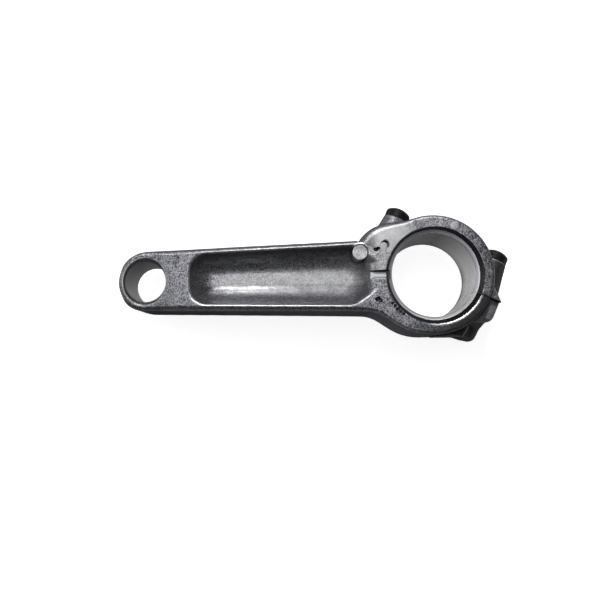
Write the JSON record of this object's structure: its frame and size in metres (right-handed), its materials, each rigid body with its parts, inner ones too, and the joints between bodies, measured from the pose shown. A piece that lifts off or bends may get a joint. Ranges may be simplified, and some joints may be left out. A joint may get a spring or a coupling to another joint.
{
  "type": "connecting rod",
  "caption": "Small-engine connecting rod of cast aluminium with a slanted split big end, a bolted cap and a plain piston pin eye.",
  "frame": {"origin": "centre of the crankpin bore, halfway between the two big-end faces", "axes": "+Z along both bores, -X towards the piston pin eye, +Y towards the cap's side of the slanted split"},
  "size_m": [0.1216, 0.0434, 0.0216],
  "materials": {
    "cast_rod": "as cast, fine dark grain, with turned bores and faces",
    "cast_cap": "as cast, fine dark grain, with turned bore and faces",
    "black_steel": "black oxide, slightly oily"
  },
  "bodies": {
    "rod": {"rod": "cast_rod"},
    "cap": {"cap": "cast_cap"},
    "upper_screw": {"upper_screw": "black_steel"},
    "lower_screw": {"lower_screw": "black_steel"}
  },
  "joints": [
    {"name": "cap_lift", "type": "slide", "parent": "rod", "child": "cap", "axis": [0.4226, 0.9063, 0], "range_m": [0, 0.03]},
    {"name": "upper_screw_draw", "type": "slide", "parent": "cap", "child": "upper_screw", "axis": [0.4226, 0.9063, 0], "range_m": [0, 0.024]},
    {"name": "lower_screw_draw", "type": "slide", "parent": "cap", "child": "lower_screw", "axis": [0.4226, 0.9063, 0], "range_m": [0, 0.024]}
  ]
}
